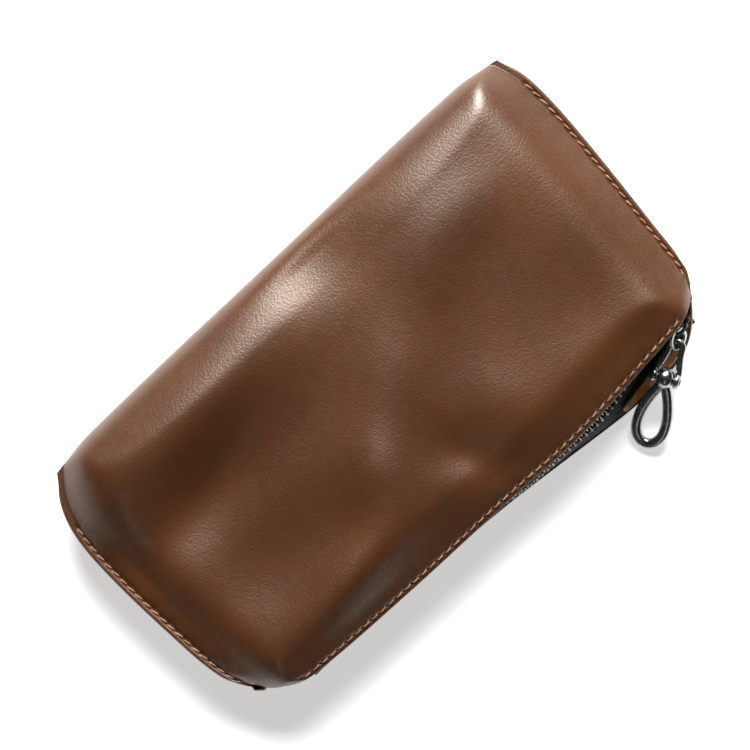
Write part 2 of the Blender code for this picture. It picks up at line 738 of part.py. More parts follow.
def main():
    for thing in list(bpy.data.objects):
        bpy.data.objects.remove(thing, do_unlink=True)
    leather = material("brown_leather", (0.15, 0.055, 0.022), 0.42)
    fabric = material("lining_fabric", (0.05, 0.035, 0.028), 0.85)
    webbing = material("zipper_tape", (0.012, 0.01, 0.009), 0.8)
    dark_metal = material("antique_brass_teeth", (0.12, 0.11, 0.1), 0.35, 1.0)
    gunmetal = material("gunmetal", (0.13, 0.135, 0.14), 0.25, 1.0)
    nickel = material("nickel", (0.6, 0.6, 0.58), 0.2, 1.0)
    thread = material("tan_thread", (0.36, 0.2, 0.12), 0.7)

    leather_body(leather)
    lining_bag(fabric)
    for side, label in ((1, "front"), (-1, "back")):
        tape(f"zipper_tape_{label}", side, webbing)
        teeth_row(f"zipper_teeth_{label}", side, dark_metal)
        low = SPINE_IN + SPREAD
        ends = (side * low, side * (low + STOP))
        stop(f"top_stop_{label}", CHAIN_END + GAP, CHAIN_END + TOP_STOP_END, min(ends), max(ends), dark_metal)
    stop("bottom_stop", CHAIN_START - BOTTOM_STOP_START, CHAIN_START - GAP, -SPINE_OUT, SPINE_OUT, dark_metal)
    end_tab(leather)
    threads(thread)

    frame = pull_frame()
    slider = slider_body(dark_metal)
    ring = pull_ring(frame, nickel)
    link, pin, loop = pull_link(frame, gunmetal), pull_pin(frame, gunmetal), pull_loop(frame, gunmetal)
    ring_joint = joint_axis("ring_joint", frame["hang"])
    link_joint = joint_axis("link_joint", frame["link_top"])
    loop_joint = joint_axis("loop_joint", frame["eye"])
    hold(ring_joint, ring)
    hold(link_joint, link)
    hold(link_joint, pin)
    hold(loop_joint, loop)
    for empty in (ring_joint, link_joint, loop_joint):
        bpy.context.view_layer.update()
        empty.parent = slider


main()
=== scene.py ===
"""The looks of a brown leather zippered pouch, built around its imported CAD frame.

The leather, its seams, the zipper and the pull are made finer here than in the
frame. Sizes are metres. The leather's outlines repeat those of the frame's
source, because the frame holds only solids.
"""

from math import cos, pi, radians, sin, tau

import bpy
import numpy as np
from mathutils import Matrix, Vector
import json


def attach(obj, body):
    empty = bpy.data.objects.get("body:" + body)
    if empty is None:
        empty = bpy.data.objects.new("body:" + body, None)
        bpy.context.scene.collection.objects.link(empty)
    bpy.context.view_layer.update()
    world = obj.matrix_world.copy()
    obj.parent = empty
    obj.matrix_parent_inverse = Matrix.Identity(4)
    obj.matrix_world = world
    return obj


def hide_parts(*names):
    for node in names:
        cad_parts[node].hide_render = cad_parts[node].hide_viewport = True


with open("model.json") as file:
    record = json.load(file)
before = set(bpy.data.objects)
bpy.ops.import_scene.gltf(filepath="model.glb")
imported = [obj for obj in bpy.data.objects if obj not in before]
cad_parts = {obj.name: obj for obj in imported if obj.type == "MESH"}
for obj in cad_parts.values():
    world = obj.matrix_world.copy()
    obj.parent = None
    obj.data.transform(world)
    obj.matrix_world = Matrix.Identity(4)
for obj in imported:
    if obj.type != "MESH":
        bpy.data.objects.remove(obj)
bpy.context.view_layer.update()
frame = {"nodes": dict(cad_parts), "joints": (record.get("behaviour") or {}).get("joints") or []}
NODES = frame["nodes"]
JOINTS = {joint["name"]: joint for joint in frame["joints"]}

MM = 0.001

# ------------------------------------------------------------ the leather's shape, in mm
SEAM_Z = 16.5
LEATHER = 1.4
SEAM_HALF = 1.6
FRONT_RISE = 14.0
BACK_RISE = 14.9
PATCH_LENGTH = 215.0
PATCH_WIDTH = 116.0
# How far the slopes run in from the ends, the fold and the mouth, how round the ends'
# and the mouth's ridges are, and how sharp the ridge between two slopes is
FRONT_SLOPES = (14.0, 22.0, 16.0, 0.45, 0.25, 5.0)
BACK_SLOPES = (24.0, 26.0, 30.0, 0.5, 0.5, 2.5)
SEAM_FLAT = 2.4              # width of the flat, pinched strip along an end seam
FRONT_RIM_RISE = 5.3
BACK_RIM_RISE = 8.6
RIM_SAG = 1.4
FOLD_EDGE = ((-105.4, 52.3), (-88, 54.6), (0, 54.8), (88, 54.4), (105.8, 51.6))
FRONT_RIM = ((-101.7, -52.4), (-96, -58.2), (-87, -60.8), (-43, -62.7), (8, -63.4),
             (30, -64.2), (52, -63.2), (78, -61.0), (90, -59.5), (97, -56.2), (101.3, -51.6))
BACK_RIM = ((-101.7, -52.4), (-96, -57.8), (-87, -60.2), (-43, -62.2), (0, -64.6),
            (24, -67.0), (52, -70.0), (66, -70.6), (78, -69.8), (88, -66.3), (95, -60.2),
            (101.3, -51.6))
LEFT_SEAM = ((-101.7, -52.4), (-107.5, -48.5), (-112.5, -38), (-115.2, -14), (-116.5, 16),
             (-115.4, 32), (-111.8, 43), (-105.4, 52.3))
RIGHT_SEAM = ((101.3, -51.6), (103.8, -46.5), (105.6, -28), (108.3, 3), (109.5, 26),
              (108.8, 41), (105.8, 51.6))

# Hollows and swells of the stuffed front: x, y, half length, half width, turn in degrees, height
FRONT_SWELLS = (
    (-72, 10, 40, 14, 3, -7.0),
    (-80, -18, 32, 24, 0, -6.0),
    (-62, 35, 36, 9, 0, 2.5),
    (-54, -44, 28, 10, 6, 4.5),
    (-24, -26, 18, 13, 45, 4.5),
    (2, -4, 24, 14, 40, 3.0),
    (40, 18, 22, 15, 35, 2.6),
    (12, 42, 22, 12, 0, -3.0),
    (62, 22, 20, 13, 0, 1.6),
    (70, -34, 26, 24, 0, -2.6),
    (4, -42, 9, 13, 25, -3.2),
    (26, -36, 10, 14, 10, 0.9),
)
BACK_SWELLS = (
    (-30, 14, 60, 26, 8, -1.2),
    (52, -8, 34, 24, -30, -0.9),
)
SWELL_FADE = 10.0            # the swells fade out this near an edge

BEAD_ENDS = (0.075, 0.975)    # share of an end seam that the painted edge covers
MOUTH_CORNER = 7.0           # the leather lies level this near to an end of the mouth
EDGE_ROUND = 0.5             # rounding of the cut leather edges
BEAD_BACK = 0.15             # the painted edge's middle lies this far inside the seam
BEAD_HALF = (0.62, 1.42)     # its half width and half height
STITCH_PITCH = 3.85
STITCH_LENGTH = 3.1
STITCH_INSET = 1.8
STITCH_RADIUS = 0.34
STITCH_PROUD = 0.12          # height of a stitch's middle above the bottom of its groove
GROOVE_DEPTH = 0.3
GROOVE_HALF = 0.75
HOLE_DEPTH = 0.35
HOLE_HALF = 0.5
PUCKER = 0.12                # the leather gathers this deep beside the stitches,
PUCKER_STITCHES = 2.6        # about once in so many stitches,
PUCKER_REACH = 4.0           # and this far in from them
MOUTH_STITCHES = (0.062, 0.94)
LEFT_STITCHES = (0.105, 0.83)
RIGHT_STITCHES = (0.075, 0.885)

# ------------------------------------------------------------ the zipper, in mm
CHAIN_Y = -58.5
CHAIN_Z = 14.1
CHAIN_BULGE = 5.4
BULGE_RISE = (-22.0, 37.0)   # where the chain's bow starts, and over what length it grows
BULGE_FALL = (75.0, 32.0)    # where it ends, and over what length it fades
TILT_CLOSED_END = 50.0
TILT_MIDDLE = 12.0
TILT_OPEN_END = 36.0
CLOSED_TWIST = (8.0, 62.0)   # where the twist to each end starts, and over what length
OPEN_TWIST = (-15.0, 55.0)
CHAIN_START = -86.0
CHAIN_END = 91.2
SLIDER_X = 85.5
PITCH = 2.6
SPREAD_START = 0.5
SPREAD = 0.9
SPREAD_LENGTH = 4.0
# A tooth from its clasp on the cord to its head: reach, half width and half thickness
TOOTH_SHAPE = ((2.75, 0.3, 0.7), (2.55, 0.5, 1.0), (1.9, 0.58, 1.2), (1.2, 0.52, 1.15),
               (0.55, 0.36, 0.95), (0.1, 0.34, 0.9), (-0.3, 0.4, 0.86), (-0.5, 0.34, 0.74),
               (-0.56, 0.16, 0.5))
TEETH_IN = 1.0               # the first tooth is this far in from the chain's start,
TEETH_PAST = 1.2             # and the last one is at most this far past the slider
CORD_REACH = 1.9
CORD_RADIUS = 0.62
CORD_STEP = 0.55
BRAID = 0.05                 # unevenness of the braided cord
TAPE = 0.5
TAPE_IN = 2.75
TAPE_STRAIGHT = 5.6
TAPE_PAST = 2.5              # the tapes reach this far past the chain's ends
TAPE_BELOW = 0.25            # more room between a tape and the leather above it
KNEE_BACK = 0.7              # a tape begins to bend this much before it is TAPE_STRAIGHT out,
KNEE_ON = 0.5                # and its knee is at most this much further,
KNEE_SHORT = 0.2             # but stays this much short of its hem,
KNEE_DROP = 0.45             # and has come this share of the way to the hem's depth
HEM = 4.2
HEM_START = 0.8
TAB = 0.8
TAB_START = 54.0
TAB_END = 86.5
TAB_SPAN = (0.12, 0.85)      # the tab covers this share of the tape from knee to hem
TAB_ROWS = 90
TAB_COLUMNS = 16
TAB_STITCHES = 5
TAB_STITCH_ROW = 7           # the stitches lie on this row of the tab's grid
TAB_STITCH_STEP = 2.6        # columns from one to the next
TAB_STITCH_LENGTH = 1.3
GAP = 0.3
STOP_CLEAR = 0.9             # a top stop stands off this much, besides the tapes' spread
STOP_WIDTH = 1.4
STOP_HALF_THICK = 1.2
TOP_STOP_END = 2.2
BOTTOM_STOP_START = 1.8
BOTTOM_STOP_HALF = 2.3

# ------------------------------------------------------------ the lining, in mm
LINING = 0.5
LINING_U = (0.02, 0.98)      # shares of the leather's length that it covers,
LINING_V = (0.09, 0.955)     # and of its width from the mouth to the fold
LINING_FADE = 0.05           # it closes over this share of the length at each end
LINING_IN = 3.9              # it hangs this far in from the leather's face,
LINING_LEAST = 0.8           # but at least this far from the pouch's middle
LINING_CREASE = 0.35

# ------------------------------------------------------------ the pull, in mm
LINK_TOP_HALF = 2.4
LINK_EYE_HALF = 4.15
LOOP_DROP = radians(20)
LOOP_REACH = 26.4
LOOP_HALF_WIDTH = 6.1
BARREL_RADIUS = 3.9
BARREL_WIDTH = 6.2
KNOB_POWER = 0.7             # below 1 the knob is squarer than a ball
KNOB_REACH = 2.9             # the loop's bar starts this far from the pin,
LOOP_BAR = (1.9, 1.65)       # with this half width and half thickness
LOOP_PEAR = (0.42, 0.58)     # the share of its width that the loop has all along, and gains
RING_BAR = (0.85, 0.66)
LINK_BAR = (1.2, 1.05)
LINK_BACK = 0.2
# The link's eye, turned round the pin: radius and height
LINK_EYE = ((0, -1.0), (1.9, -1.0), (2.3, -0.88), (2.55, -0.6), (2.65, 0), (2.55, 0.6), (2.3, 0.88),
            (1.9, 1.0), (0, 1.0))
PIN_RADIUS = 1.0
PIN_REACH = 0.95             # the pin passes the middle of each eye by this
PIN_TIP = 0.33
# The pin's head: radius, and height over the pin's reach
PIN_HEAD = ((0.7, 0.3), (1.1, 0.2), (1.3, 0.0), (1.35, -0.2), (PIN_RADIUS, -0.25))

# ------------------------------------------------------------ the slider's edges, in metres
SLIDER_WELD = 0.000002
SLIDER_ROUND = 0.00016

# ------------------------------------------------------------ the view
VIEW_SPAN = 262.5            # width of the view at the seams' height
CAMERA_HEIGHT = 1500.0
CAMERA_SPOT = (-0.95, 0.78)
VIEW_TURN = -43.4            # degrees that the view is turned about the vertical
SENSOR = 36.0                # width of the camera's sensor

# ------------------------------------------------------------ floor and light, in metres and watts
FLOOR_HALF = 6.0
FLOOR_GLOW = 0.55
WORLD_GLOW = 0.03
SOFTBOX_WAY = (0.53, 0.56, 0.64)
SOFTBOX_DISTANCE = 2.2
SOFTBOX_SIZE = (1.3, 1.2)
SOFTBOX_POWER = 138.0
STRIP_WAY = (-0.6, -0.5, 0.62)
STRIP_DISTANCE = 1.2
STRIP_SIZE = (0.12, 0.8)
STRIP_POWER = 0.4


# ============================================================ small tools

def smooth_step(value):
    t = np.clip(value, 0.0, 1.0)
    return t * t * (3 - 2 * t)


def bump(x, centre, half):
    t = np.clip(np.abs(x - centre) / half, 0.0, 1.0)
    return np.cos(t * pi / 2) ** 2


def unit(vectors):
    return vectors / np.maximum(np.linalg.norm(vectors, axis=-1, keepdims=True), 1e-12)


def curve_through(points, axis, values):
    """The other coordinate of a smooth curve through (x, y) points, at values on axis."""
    knots = np.array([p[axis] for p in points], float)
    other = np.array([p[1 - axis] for p in points], float)
    slope = np.empty(len(knots))
    slope[1:-1] = (other[2:] - other[:-2]) / (knots[2:] - knots[:-2])
    slope[0] = (other[1] - other[0]) / (knots[1] - knots[0])
    slope[-1] = (other[-1] - other[-2]) / (knots[-1] - knots[-2])
    values = np.asarray(values, float)
    k = np.clip(np.searchsorted(knots, values) - 1, 0, len(knots) - 2)
    span = knots[k + 1] - knots[k]
    t = np.clip((values - knots[k]) / span, 0.0, 1.0)
    h1 = 2 * t ** 3 - 3 * t ** 2 + 1
    h2 = t ** 3 - 2 * t ** 2 + t
    h3 = 3 * t ** 2 - 2 * t ** 3
    h4 = t ** 3 - t ** 2
    return h1 * other[k] + h2 * slope[k] * span + h3 * other[k + 1] + h4 * slope[k + 1] * span


def add_mesh(name, points, faces, mat, body="pouch", smooth=50):
    """A piece from points in millimetres that rides on a body."""
    mesh = bpy.data.meshes.new(name)
    corners = (np.asarray(points, float) * MM).tolist()
    mesh.from_pydata(corners, [], [tuple(map(int, f)) for f in faces])
    mesh.validate()
    mesh.shade_smooth()
    mesh.set_sharp_from_angle(angle=radians(smooth))
    mesh.materials.append(mat)
    piece = bpy.data.objects.new(name, mesh)
    bpy.context.scene.collection.objects.link(piece)
    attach(piece, body)
    return piece


def grid_faces(rows, columns, close_rows=False, close_columns=False, offset=0):
    """Quads of a grid whose point (i, j) is i * columns + j."""
    i = np.arange(rows if close_rows else rows - 1)
    j = np.arange(columns if close_columns else columns - 1)
    i, j = np.meshgrid(i, j, indexing="ij")
    i2, j2 = (i + 1) % rows, (j + 1) % columns
    quads = np.stack([i * columns + j, i2 * columns + j, i2 * columns + j2, i * columns + j2], -1)
    return (quads.reshape(-1, 4) + offset).tolist()


def grid_normals(points):
    """Outward unit normals of a grid of points, for rows that run along +X."""
    along = np.gradient(points, axis=0)
    across = np.gradient(points, axis=1)
    return unit(np.cross(along, across))


def shell(outer, inner):
    """Points and faces of a closed sheet between two grids of the same size."""
    rows, columns = outer.shape[:2]
    size = rows * columns
    points = np.concatenate([outer.reshape(-1, 3), inner.reshape(-1, 3)])
    faces = grid_faces(rows, columns)
    faces += [f[::-1] for f in grid_faces(rows, columns, offset=size)]
    rim = list(range(columns))
    rim += [i * columns + columns - 1 for i in range(1, rows)]
    rim += [(rows - 1) * columns + j for j in range(columns - 2, -1, -1)]
    rim += [i * columns for i in range(rows - 2, 0, -1)]
    faces += [(a, size + a, size + b, b) for a, b in zip(rim, rim[1:] + rim[:1])]
    return points, faces


def sweep(path, side, up, half_side, half_up, closed=False, steps=20, power=1.0):
    """A bar along a path: its section is a rounded box, half_side by half_up."""
    path = np.asarray(path, float)
    angle = np.arange(steps) * tau / steps
    c, s = np.cos(angle), np.sin(angle)
    c, s = np.sign(c) * np.abs(c) ** power, np.sign(s) * np.abs(s) ** power
    half_side = np.broadcast_to(half_side, len(path))[:, None, None]
    half_up = np.broadcast_to(half_up, len(path))[:, None, None]
    side = np.broadcast_to(side, path.shape)[:, None, :]
    up = np.broadcast_to(up, path.shape)[:, None, :]
    c, s = c[None, :, None], s[None, :, None]
    rings = path[:, None, :] + side * half_side * c + up * half_up * s
    faces = grid_faces(len(path), steps, close_rows=closed, close_columns=True)
    if not closed:
        last = range((len(path) - 1) * steps, len(path) * steps)
        faces += [tuple(range(steps)), tuple(last)[::-1]]
    return rings.reshape(-1, 3), faces


def lathe(profile, centre, axis, steps=48):
    """A turned solid: profile is (radius, height) pairs whose first and last radius is 0."""
    turn = np.array(Vector((0, 0, 1)).rotation_difference(Vector(axis)).to_matrix())
    rings = np.array(profile[1:-1], float)
    angle = np.arange(steps) * tau / steps
    x = rings[:, 0, None] * np.cos(angle)
    y = rings[:, 0, None] * np.sin(angle)
    z = np.repeat(rings[:, 1, None], steps, axis=1)
    local = np.stack([x, y, z], -1).reshape(-1, 3)
    ends = np.array([[0, 0, profile[0][1]], [0, 0, profile[-1][1]]], float)
    points = np.concatenate([local, ends]) @ turn.T + np.asarray(centre, float)
    faces = grid_faces(len(rings), steps, close_columns=True)
    low, high = len(local), len(local) + 1
    last = (len(rings) - 1) * steps
    for k in range(steps):
        n = (k + 1) % steps
        faces.append((low, n, k))
        faces.append((high, last + k, last + n))
    return points, faces


def join(parts):
    """One list of points and faces from several."""
    points, faces, count = [], [], 0
    for p, f in parts:
        points.append(np.asarray(p, float))
        faces += [tuple(v + count for v in face) for face in f]
        count += len(p)
    return np.concatenate(points), faces


# ============================================================ materials

class Paint:
    """A Principled material and short calls that add nodes to it."""

    def __init__(self, name, **values):
        self.mat = bpy.data.materials.new(name)
        self.mat.use_nodes = True
        self.tree = self.mat.node_tree
        self.shader = self.tree.nodes["Principled BSDF"]
        for key, value in values.items():
            self.shader.inputs[key.replace("_", " ")].default_value = value
        self.place = self.add("ShaderNodeTexCoord").outputs["Object"]

    def add(self, kind, inputs=None, **settings):
        made = self.tree.nodes.new(kind)
        for key, value in settings.items():
            setattr(made, key, value)
        for key, value in (inputs or {}).items():
            if isinstance(value, bpy.types.NodeSocket):
                self.tree.links.new(value, made.inputs[key])
            else:
                made.inputs[key].default_value = value
        return made

    def noise(self, scale, detail=3.0, rough=0.5, place=None):
        inputs = {"Vector": place or self.place, "Scale": scale, "Detail": detail, "Roughness": rough}
        return self.add("ShaderNodeTexNoise", inputs).outputs["Fac"]

    def cells(self, scale, place, feature="SMOOTH_F1"):
        made = self.add("ShaderNodeTexVoronoi", {"Vector": place, "Scale": scale}, feature=feature)
        if feature == "SMOOTH_F1":
            made.inputs["Smoothness"].default_value = 0.6
        return made.outputs["Distance"]

    def vector(self, operation, inputs):
        return self.add("ShaderNodeVectorMath", inputs, operation=operation).outputs[0]

    def warp(self, scale, amount):
        """The place, pushed about by a noise."""
        inputs = {"Vector": self.place, "Scale": scale, "Detail": 2.0}
        cloud = self.add("ShaderNodeTexNoise", inputs).outputs["Color"]
        centred = self.vector("SUBTRACT", {0: cloud, 1: (0.5, 0.5, 0.5)})
        scaled = self.vector("SCALE", {0: centred, "Scale": amount})
        return self.vector("ADD", {0: self.place, 1: scaled})

    def spread(self, value, low, high, to_low=0.0, to_high=1.0):
        """The value, with its stretch from low to high spread from to_low to to_high."""
        inputs = {"Value": value, "From Min": low, "From Max": high, "To Min": to_low, "To Max": to_high}
        return self.add("ShaderNodeMapRange", inputs).outputs["Result"]

    def times(self, a, b):
        return self.add("ShaderNodeMath", {0: a, 1: b}, operation="MULTIPLY").outputs[0]

    def bands(self, scale, direction):
        inputs = {"Vector": self.place, "Scale": scale, "Distortion": 0.3, "Detail": 1.0}
        made = self.add("ShaderNodeTexWave", inputs, wave_type="BANDS", bands_direction=direction)
        return made.outputs["Fac"]

    def mix(self, factor, a, b):
        made = self.add("ShaderNodeMix", data_type="RGBA")
        for socket, value in ((made.inputs[0], factor), (made.inputs[6], a), (made.inputs[7], b)):
            if isinstance(value, bpy.types.NodeSocket):
                self.tree.links.new(value, socket)
            else:
                socket.default_value = (*value, 1.0) if isinstance(value, tuple) else value
        return made.outputs[2]

    def to(self, name, value):
        self.tree.links.new(value, self.shader.inputs[name])

    def bumps(self, *layers):
        """Bumps on each other, each a height and the depth in metres that it makes."""
        normal = None
        for height, depth in layers:
            inputs = {"Height": height, "Strength": 1.0, "Distance": depth}
            if normal is not None:
                inputs["Normal"] = normal
            normal = self.add("ShaderNodeBump", inputs).outputs["Normal"]
        self.to("Normal", normal)


def leather_paint(name, light, dark, rough_low, rough_high, grain_depth):
    """Smooth dyed leather with a fine pebble grain and a waxed top coat."""
    paint = Paint(name, Specular_IOR_Level=0.7, Coat_Weight=0.42, Coat_Roughness=0.32,
                  Specular_Tint=(1.0, 0.88, 0.76, 1.0))
    cloudy = paint.noise(22, 4.0, 0.55)
    fine = paint.noise(260, 4.0, 0.6)
    place = paint.warp(900, 0.0009)
    grain = paint.cells(1250, place)
    small = paint.cells(2900, paint.warp(2000, 0.0003))
    creases = paint.cells(170, paint.warp(60, 0.012), feature="DISTANCE_TO_EDGE")
    crease = paint.spread(creases, 0.0, 0.05)
    tone = paint.mix(paint.spread(cloudy, 0.35, 0.68), dark, light)
    tone = paint.mix(paint.spread(fine, 0.3, 0.75, 0.0, 0.35), tone, dark)
    tone = paint.mix(paint.spread(grain, 0.2, 0.75, 0.0, 0.22), tone, (0.03, 0.012, 0.006))
    paint.to("Base Color", tone)
    rough = paint.spread(fine, 0.3, 0.7, rough_low, rough_high)
    paint.to("Roughness", rough)
    pebble = paint.spread(grain, 0.0, 0.8, 1.0, 0.0)
    speck = paint.spread(small, 0.0, 0.8, 1.0, 0.0)
    paint.bumps((crease, 0.000012), (pebble, grain_depth), (speck, grain_depth * 0.35))
    return paint.mat


def edge_paint():
    """The burnished and painted cut edges, where the two layers show as a line."""
    paint = Paint("painted_edge", Roughness=0.5, Coat_Weight=0.2, Coat_Roughness=0.3)
    fibres = paint.noise(3000, 3.0, 0.6)
    blotch = paint.noise(150, 3.0)
    tone = paint.mix(blotch, (0.13, 0.05, 0.026), (0.055, 0.022, 0.013))
    tone = paint.mix(paint.spread(fibres, 0.4, 0.8, 0.0, 0.5), tone, (0.2, 0.1, 0.06))
    paint.to("Base Color", tone)
    paint.bumps((fibres, 0.00006))
    return paint.mat


def thread_paint():
    """Waxed twisted thread."""
    paint = Paint("tan_thread", Roughness=0.6, Sheen_Weight=0.2)
    fibre = paint.noise(5200, 2.0, 0.5)
    patch = paint.noise(400, 2.0)
    tone = paint.mix(paint.spread(patch, 0.35, 0.65), (0.21, 0.095, 0.045), (0.36, 0.2, 0.115))
    tone = paint.mix(paint.spread(fibre, 0.45, 0.7, 0.0, 0.6), tone, (0.1, 0.045, 0.022))
    paint.to("Base Color", tone)
    paint.bumps((fibre, 0.0001))
    return paint.mat


def woven_paint(name, dark, light, threads=900.0):
    """A fine plain weave, with a painted highlight where a thread crosses over and painted shade
    between.
    """
    paint = Paint(name, Roughness=0.85, Sheen_Weight=0.3, Sheen_Roughness=0.5)
    scale = threads / tau * 2
    # cross is the weave's relief. It makes the bumps, and its colour mix is painted light: a painted
    # highlight on each crossing and painted shade in the gaps.
    cross = paint.times(paint.bands(scale, "X"), paint.bands(scale, "DIAGONAL"))
    dust = paint.noise(600, 3.0)
    tone = paint.mix(cross, dark, light)
    tone = paint.mix(paint.spread(dust, 0.4, 0.8, 0.0, 0.4), tone, light)
    paint.to("Base Color", tone)
    paint.bumps((cross, 0.00008))
    return paint.mat


def metal_paint(name, dark, light, rough_low, rough_high, depth=0.000008):
    """Plated metal with soft scuffs and uneven polish."""
    paint = Paint(name, Metallic=1.0)
    scuff = paint.noise(420, 5.0, 0.65)
    blotch = paint.noise(120, 3.0)
    scratch = paint.noise(2600, 2.0, 0.6, place=paint.warp(300, 0.004))
    tone = paint.mix(paint.spread(scuff, 0.35, 0.7), dark, light)
    paint.to("Base Color", paint.mix(paint.spread(blotch, 0.4, 0.8, 0.0, 0.5), tone, dark))
    paint.to("Roughness", paint.spread(scuff, 0.3, 0.75, rough_low, rough_high))
    paint.bumps((scratch, depth), (blotch, depth * 6))
    return paint.mat


LEATHER_PAINT = leather_paint("brown_leather", (0.09, 0.0278, 0.0058), (0.06, 0.0182, 0.0044),
                              0.35, 0.42, 0.00005)
# The end tab is the body's leather painted much lighter: painted light, so that it reads as lit where it
# lies in shade under the pull.
TAB_LIT_PAINT = leather_paint("tab_leather_painted_light", (0.5, 0.2, 0.05), (0.32, 0.12, 0.03), 0.4, 0.55, 0.00006)
EDGE_PAINT = edge_paint()
THREAD_PAINT = thread_paint()
TAPE_PAINT = woven_paint("zipper_webbing", (0.006, 0.005, 0.0045), (0.028, 0.022, 0.018))
LINING_PAINT = woven_paint("lining_cloth", (0.035, 0.024, 0.018), (0.075, 0.052, 0.04),
                           threads=1400.0)
TOOTH_PAINT = metal_paint("antique_teeth", (0.08, 0.072, 0.066), (0.5, 0.47, 0.44), 0.25, 0.5)
SLIDER_PAINT = metal_paint("dark_slider", (0.03, 0.031, 0.033), (0.1, 0.1, 0.102), 0.25, 0.45)
NICKEL_PAINT = metal_paint("nickel", (0.42, 0.43, 0.41), (0.68, 0.69, 0.67), 0.2, 0.38)
GUNMETAL_PAINT = metal_paint("gunmetal", (0.3, 0.312, 0.31), (0.52, 0.535, 0.53), 0.2, 0.3,
                             depth=0.0000015)


# ============================================================ the leather

def spaced(count):
    """Numbers from 0 to 1 that crowd towards both ends."""
    k = np.arange(count + 1) / count
    return 0.35 * k + 0.325 * (1 - np.cos(pi * k))


def fine_spaced(count, size, near=0.5):
    """Such numbers, with more of them within a few tenths of a millimetre of both ends."""
    extra = np.array([0.06, 0.2, 0.45, 0.9, 1.3, 1.8, 2.3, 2.9]) * near / 0.5 / size
    values = np.concatenate([spaced(count), extra, 1 - extra])
    values = np.unique(np.round(values, 7))
    keep = np.concatenate([[True], np.diff(values) > 0.05 / size])
    keep[-1] = True
    return values[keep]


def patch_point(u, v, rim):
    """x and y of a panel; u runs -X to +X, v from the mouth to the fold."""
    u, v = np.broadcast_arrays(np.asarray(u, float), np.asarray(v, float))

    def along(points):
        x = points[0][0] + (points[-1][0] - points[0][0]) * u
        return np.stack([x, curve_through(points, 0, x)], -1)

    def up(points):
        y = points[0][1] + (points[-1][1] - points[0][1]) * v
        return np.stack([curve_through(points, 1, y), y], -1)

    bottom, top, left, right = along(rim), along(FOLD_EDGE), up(LEFT_SEAM), up(RIGHT_SEAM)
    a, b, c, d = (np.array(p, float) for p in (rim[0], rim[-1], FOLD_EDGE[0], FOLD_EDGE[-1]))
    u, v = u[..., None], v[..., None]
    corners = (a * (1 - u) + b * u) * (1 - v) + (c * (1 - u) + d * u) * v
    return bottom * (1 - v) + top * v + left * (1 - u) + right * u - corners


def ramp(value, roundness):
    """1 at 1, falling in a line to near 0 at 0, with a rounded foot."""
    def soft(x):
        return (x + np.sqrt(x ** 2 + roundness ** 2)) / 2
    return soft(value) / soft(1.0)


def rise(u, v, full, rim_rise, slopes):
    """Height of a panel above the seam plane's flat layers, before its swells."""
    end_run, fold_run, mouth_run, end_round, mouth_round, ridge = slopes
    end = ramp(1 - (np.minimum(u, 1 - u) * PATCH_LENGTH - SEAM_FLAT) / end_run, end_round)
    near_fold = np.clip(1 - (1 - v) * PATCH_WIDTH / fold_run, 0, 1)
    fold = 1 - np.sqrt(1 - near_fold ** 2)
    mouth = (1 - rim_rise / full) * ramp(1 - v * PATCH_WIDTH / mouth_run, mouth_round)
    lost = (end ** ridge + fold ** ridge + mouth ** ridge) ** (1 / ridge)
    return full * (1 - np.minimum(lost, 1.0))


def swells(x, y, features):
    """The sum of the hollows and swells at a place."""
    total = np.zeros_like(x)
    for cx, cy, half_long, half_wide, turn, height in features:
        a = radians(turn)
        along = (x - cx) * cos(a) + (y - cy) * sin(a)
        across = -(x - cx) * sin(a) + (y - cy) * cos(a)
        total += height * np.exp(-(along / half_long) ** 2 - (across / half_wide) ** 2)
    return total


def panel(u, v, side):
    """Points of the leather's outer face, with its swells."""
    spot = patch_point(u, v, FRONT_RIM if side > 0 else BACK_RIM)
    x, y = spot[..., 0], spot[..., 1]
    if side > 0:
        height = rise(u, v, FRONT_RISE, FRONT_RIM_RISE, FRONT_SLOPES)
    else:
        rim_x = patch_point(u, 0.0, BACK_RIM)[..., 0]
        height = rise(u, v, BACK_RISE, BACK_RIM_RISE + RIM_SAG * bump(rim_x, 66, 34), BACK_SLOPES)
    from_edge = np.minimum(np.minimum(u, 1 - u) * PATCH_LENGTH, np.minimum(v, 1 - v) * PATCH_WIDTH)
    shown = smooth_step(from_edge / SWELL_FADE)
    height = height + shown * swells(x, y, FRONT_SWELLS if side > 0 else BACK_SWELLS)
    return np.stack([x, y, SEAM_Z + side * (SEAM_HALF + height)], -1)


def arc_length(line):
    return np.concatenate([[0.0], np.cumsum(np.linalg.norm(np.diff(line, axis=0), axis=1))])


def seams(side):
    """The three stitched lines of a face: u, v and arc length along each, and its stitches."""
    t = np.linspace(0, 1, 1201)
    inset_v, inset_u = STITCH_INSET / PATCH_WIDTH, STITCH_INSET / PATCH_LENGTH
    made = {}
    for name, u, v, stretch in (("mouth", t, np.full_like(t, inset_v), MOUTH_STITCHES),
                                ("left", np.full_like(t, inset_u), t, LEFT_STITCHES),
                                ("right", np.full_like(t, 1 - inset_u), t, RIGHT_STITCHES)):
        run = arc_length(panel(u, v, side))
        low, high = np.interp(stretch, t, run)
        count = int((high - low) / STITCH_PITCH)
        made[name] = {"t": t, "u": u, "v": v, "run": run, "low": low, "count": count}
    return made


SEAMS = {1: seams(1), -1: seams(-1)}


